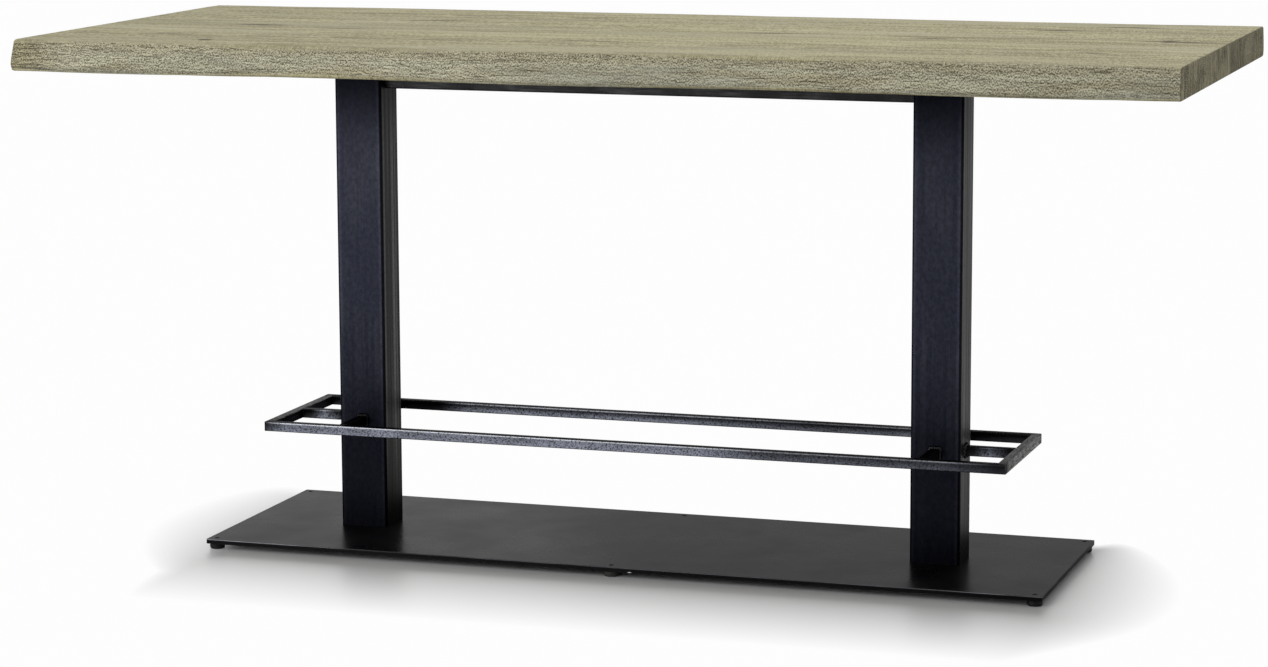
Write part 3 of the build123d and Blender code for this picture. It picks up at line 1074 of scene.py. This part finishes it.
# outline of a square tube: place, outward direction and share of the way round
def roundedSquare(half, corner, count):
    straight = 2 * (half - corner)
    side = straight + math.pi / 2 * corner
    spots = []
    for index in range(count):
        quarter, rest = divmod(index / count * 4 * side, side)
        if rest < straight:
            outward = Vector((1.0, 0.0))
            place = Vector((half, rest - straight / 2))
        else:
            angle = (rest - straight) / corner
            outward = Vector((math.cos(angle), math.sin(angle)))
            place = Vector((half - corner, half - corner)) + outward * corner
        turn = Matrix.Rotation(quarter * math.pi / 2, 2)
        spots.append((turn @ place, turn @ outward, index / count))
    return spots


# ring of rippled weld round one stub where it meets the post
def addWeldRing(points, faces, stubName, direction, leg):
    low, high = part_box(stubName)
    half = (high.z - low.z) / 2
    middle = (low + high) / 2
    seat = middle - direction * abs((high - low).dot(direction)) / 2
    sideways = Vector((0, 0, 1)).cross(direction)
    steps = weldLook["profileSteps"]
    sink = weldLook["sink"]
    fullness = weldLook["fullness"]
    cells = weldLook["lumpCells"]
    first = len(points)

    def addPoint(flat, rise):
        points.append(seat + sideways * flat.x + Vector((0, 0, flat.y)) + direction * rise)

    spots = roundedSquare(half, weldLook["cornerShare"] * half, weldLook["stations"])
    for place, outward, share in spots:
        lump = noise.noise(Vector((place.x * cells, place.y * cells, seat.dot(weldLook["lumpPart"]))))
        for step in range(steps + 1):
            angle = step / steps * math.pi / 2
            turn = 2 * math.pi * weldLook["ripples"] * share
            ripple = math.cos(turn - weldLook["rippleLean"] * math.sin(angle)) * math.sin(2 * angle)
            size = weldLook["bodyShare"] + weldLook["rippleDepth"] * ripple + weldLook["lumpDepth"] * lump
            size *= leg
            spread = size * max(math.cos(angle), 0.0) ** fullness - sink
            addPoint(place + outward * spread, size * math.sin(angle) ** fullness - sink)
        addPoint(place - outward * weldLook["rootSink"], -sink)
    loop = steps + 2
    for i in range(len(spots)):
        here = first + i * loop
        ahead = first + (i + 1) % len(spots) * loop
        for j in range(loop):
            n = (j + 1) % loop
            faces.append((here + j, ahead + j, ahead + n, here + n))


def makeWelds(side, outwards):
    welds = "footrest_welds_" + side
    low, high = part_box(welds)
    stubLow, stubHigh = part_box("footrest_stub_%s_front" % side)
    leg = (high.z - low.z - (stubHigh.z - stubLow.z)) / 2
    points = []
    faces = []
    ways = {"outer": Vector((outwards, 0, 0)), "front": Vector((0, -1, 0)), "back": Vector((0, 1, 0))}
    for arm, direction in ways.items():
        addWeldRing(points, faces, "footrest_stub_%s_%s" % (side, arm), direction, leg)
    piece = addPiece("weld_beads_" + side, points, faces, [welds])
    paint(piece, weldCoat)


makeWelds("left", -1.0)
makeWelds("right", 1.0)

# zinc plated fasteners
zincLook = {
    "light": (0.50, 0.50, 0.51, 1.0),
    "dark": (0.26, 0.26, 0.27, 1.0),
    "layers": {
        "cloud": (0.5, dict(stretch=(120, 120, 120), detail=3)),
        "spin": (0.5, dict(stretch=(260, 260, 900), detail=3, rough=0.6)),
    },
    "span": (0.35, 0.65),
    "rough": 0.28,
    "roughSpread": 0.25,
    "bumpStrength": 0.2,
    "bump": 0.0001,
}


def makeZinc():
    material, shader, position = newMaterial("zincPlated")
    layers, body = layersOf(position, zincLook["layers"])
    tone = remap(body, *zincLook["span"])
    feed(shader.inputs, {
        "Base Color": mixColor(tone, zincLook["dark"], zincLook["light"]),
        "Roughness": timesPlus(layers["spin"], zincLook["roughSpread"], zincLook["rough"]),
        "Metallic": 1.0,
        "Normal": bump(layers["spin"], zincLook["bumpStrength"], zincLook["bump"]),
    })
    return material


# moulded black plastic of the levelling feet, dusty near the floor
footLook = {
    "base": (0.003, 0.003, 0.0035, 1.0),
    "dusty": (0.010, 0.010, 0.010, 1.0),
    "dustRise": (0.0, 0.008, 1.0, 0.2),
    "dustSpan": (0.4, 0.7),
    "cloud": dict(stretch=(110, 110, 60), detail=3, rough=0.6),
    "grain": (1500.0, 1500.0, 1500.0),
    "rough": 0.4,
    "roughSpread": 0.2,
    "gloss": 0.15,
    "bumpStrength": 0.3,
    "bump": 0.0002,
}
# the middle feet are painted paler, as if lit, so that they fade into the floor's light
paintedPaleLook = dict(footLook, base=(0.024, 0.025, 0.021, 1.0), dusty=(0.048, 0.051, 0.042, 1.0))


def makeFootPlastic(name, look):
    material, shader, position = newMaterial(name)
    cloud = stretched(position, **look["cloud"])
    nearFloor = remap(axesOf(position)["Z"], *look["dustRise"])
    dusty = times(remap(cloud, *look["dustSpan"]), nearFloor)
    feed(shader.inputs, {
        "Base Color": mixColor(dusty, look["base"], look["dusty"]),
        "Roughness": timesPlus(cloud, look["roughSpread"], look["rough"]),
        "Specular IOR Level": look["gloss"],
        "Normal": bump(stretched(position, look["grain"]), look["bumpStrength"], look["bump"]),
    })
    return material


zinc = makeZinc()
footPlastic = makeFootPlastic("footPlastic", footLook)
paintedPalePlastic = makeFootPlastic("paintedPalePlastic", paintedPaleLook)
coats = {  # by how a node's name starts, the last that fits
    "": postCoat, "top_beam": beamCoat, "floor_plate": plateCoat, "footrest_welds": weldCoat,
    "foot_stud": studCoat, "foot_pad": footPlastic, "foot_pad_front_middle": paintedPalePlastic,
    "foot_pad_back_middle": paintedPalePlastic, "post_bolts": zinc, "top_bolts": zinc, "top_washers": zinc,
    "top_inserts": zinc}
for nodeName, node in nodes.items():
    if nodeName.startswith(("footrest_rail", "footrest_stub")):
        paint(node, makeRail(nodeName))
    elif not nodeName.startswith("stave"):
        paint(node, [coat for start, coat in coats.items() if nodeName.startswith(start)][-1])
print("steel, fasteners and feet dressed")

# studio: glossy floor, grey near the plate and glowing white away from it: the grey patch is a painted
# shadow shaped round the plate, which also takes the rendered shadow; light from above, the front and the
# back; each fade has the distance from the plate where it starts and its length
studio = {
    "floorColor": (0.53, 0.53, 0.53, 1.0),
    "floorRough": 0.34,
    "floorSize": 30.0,
    "fadeLeft": (-0.05, 0.27),
    "fadeRight": (0.0, 0.25),
    "fadeFront": (0.05, 0.40),
    "fadeBack": (0.005, 0.05),
    "backSpread": 1.2,
    "bowMiddle": {"fadeLeft": 0.05, "fadeRight": -0.18},
    "bow": 2.6,
    "leastBow": 0.25,
    "white": 0.985,
    "worldStrength": 0.55,
    "lights": {
        "topLight": dict(place=(0.7, 0.9, 3.3), target=(0.2, 0.6, 0.0), size=3.2, power=30.0),
        "frontLight": dict(place=(-3.6, -5.7, 2.6), target=(0.0, 0.0, 0.6), size=4.0, power=240.0),
        "backLight": dict(place=(-2.8, 4.25, 1.0), target=(-0.6, 0.0, 0.2), size=2.2, power=7.5),
    },
}


# 1 for the eye, mirrors and glass, 0 for the light that falls on the table
def seenDirectly(tree):
    path = addNode("LightPath", {}, tree)
    bounced = larger(path["Is Glossy Ray"], path["Is Transmission Ray"])
    return larger(path["Is Camera Ray"], bounced)


# how far a floor point lies outside the plate, as a share of the fade on each side, which shapes the painted
# shadow
def awayFromPlate(position):
    low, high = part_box("floor_plate")
    split = axesOf(position)
    outside = {
        "fadeLeft": minus(low.x, split["X"]),
        "fadeRight": minus(split["X"], high.x),
        "fadeFront": minus(low.y, split["Y"]),
        "fadeBack": minus(split["Y"], high.y),
    }
    beyond = larger(larger(outside["fadeLeft"], outside["fadeRight"]), 0.0)
    share = {}
    for side, distance in outside.items():
        start, length = studio[side]
        if side == "fadeBack":  # the painted shadow reaches further back beside the plate
            length = timesPlus(beyond, studio["backSpread"], length)
        if side in studio["bowMiddle"]:  # and bows outwards at the ends
            off = minus(split["Y"], studio["bowMiddle"][side])
            bow = timesPlus(times(off, off), -studio["bow"], 1.0)
            length = times(larger(bow, studio["leastBow"]), length)
        gone = larger(minus(distance, start), 0.0)
        share[side] = over(gone, length)
    beside = larger(share["fadeLeft"], share["fadeRight"])
    away = vectorOn("LENGTH", joined(beside, share["fadeFront"], share["fadeBack"]))
    return times(away, 1.0, clamp=True)


def makeFloor():
    half = studio["floorSize"] / 2
    corners = [(-half, -half, 0), (half, -half, 0), (half, half, 0), (-half, half, 0)]
    mesh = bpy.data.meshes.new("floorMesh")
    mesh.from_pydata(corners, [], [(0, 1, 2, 3)])
    floor = bpy.data.objects.new("floor", mesh)
    scene.collection.objects.link(floor)
    material, shader, position = newMaterial("paleFloor")
    feed(shader.inputs, {"Base Color": studio["floorColor"], "Roughness": studio["floorRough"]})
    tree = material.node_tree
    fade = times(awayFromPlate(position), seenDirectly(tree))
    glow = addNode("Emission", {"Color": white, "Strength": studio["white"]}, tree)[0]
    mix = addNode("MixShader", {0: fade, 1: shader.outputs[0], 2: glow})[0]
    feed(tree.nodes["Material Output"].inputs, {"Surface": mix})
    mesh.materials.append(material)


def makeWorld():
    world = bpy.data.worlds.new("studioWorld")
    world.use_nodes = True
    scene.world = world
    tree = world.node_tree
    dim = studio["worldStrength"]
    strength = timesPlus(seenDirectly(tree), studio["white"] - dim, dim)
    feed(tree.nodes["Background"].inputs, {"Color": white, "Strength": strength})


def addSoftLight(name, place, target, size, power):
    lamp = bpy.data.lights.new(name, "AREA")
    lamp.shape = "SQUARE"
    lamp.size = size
    lamp.energy = power
    holder = bpy.data.objects.new(name, lamp)
    scene.collection.objects.link(holder)
    holder.location = place
    holder.rotation_euler = (Vector(target) - Vector(place)).to_track_quat("-Z", "Y").to_euler()
    holder.visible_camera = False


makeFloor()
makeWorld()
for lightName, light in studio["lights"].items():
    addSoftLight(lightName, **light)
print("studio set")

# camera: place, turn, tilt and roll in metres and radians, focal length in image widths
viewPoint = {
    "place": (2.3144981, -7.1564129, 1.6913952),
    "turn": -0.3167900,
    "tilt": 0.1618269,
    "roll": 0.0041101,
    "focal": 3637.73 / 1268,
    "sensor": 36.0,
}


def makeCamera():
    turn, tilt, roll = viewPoint["turn"], viewPoint["tilt"], viewPoint["roll"]
    ahead = Vector((math.sin(turn) * math.cos(tilt), math.cos(turn) * math.cos(tilt), -math.sin(tilt)))
    right = Vector((math.cos(turn), -math.sin(turn), 0.0))
    down = ahead.cross(right)
    sideways = math.cos(roll) * right + math.sin(roll) * down
    below = -math.sin(roll) * right + math.cos(roll) * down
    lens = bpy.data.cameras.new("photoCamera")
    lens.sensor_fit = "HORIZONTAL"
    lens.sensor_width = viewPoint["sensor"]
    lens.lens = viewPoint["sensor"] * viewPoint["focal"]
    camera = bpy.data.objects.new("photoCamera", lens)
    scene.collection.objects.link(camera)
    axes = Matrix((sideways, -below, -ahead)).transposed().to_4x4()
    camera.matrix_world = Matrix.Translation(viewPoint["place"]) @ axes
    scene.camera = camera


makeCamera()
print("camera set")
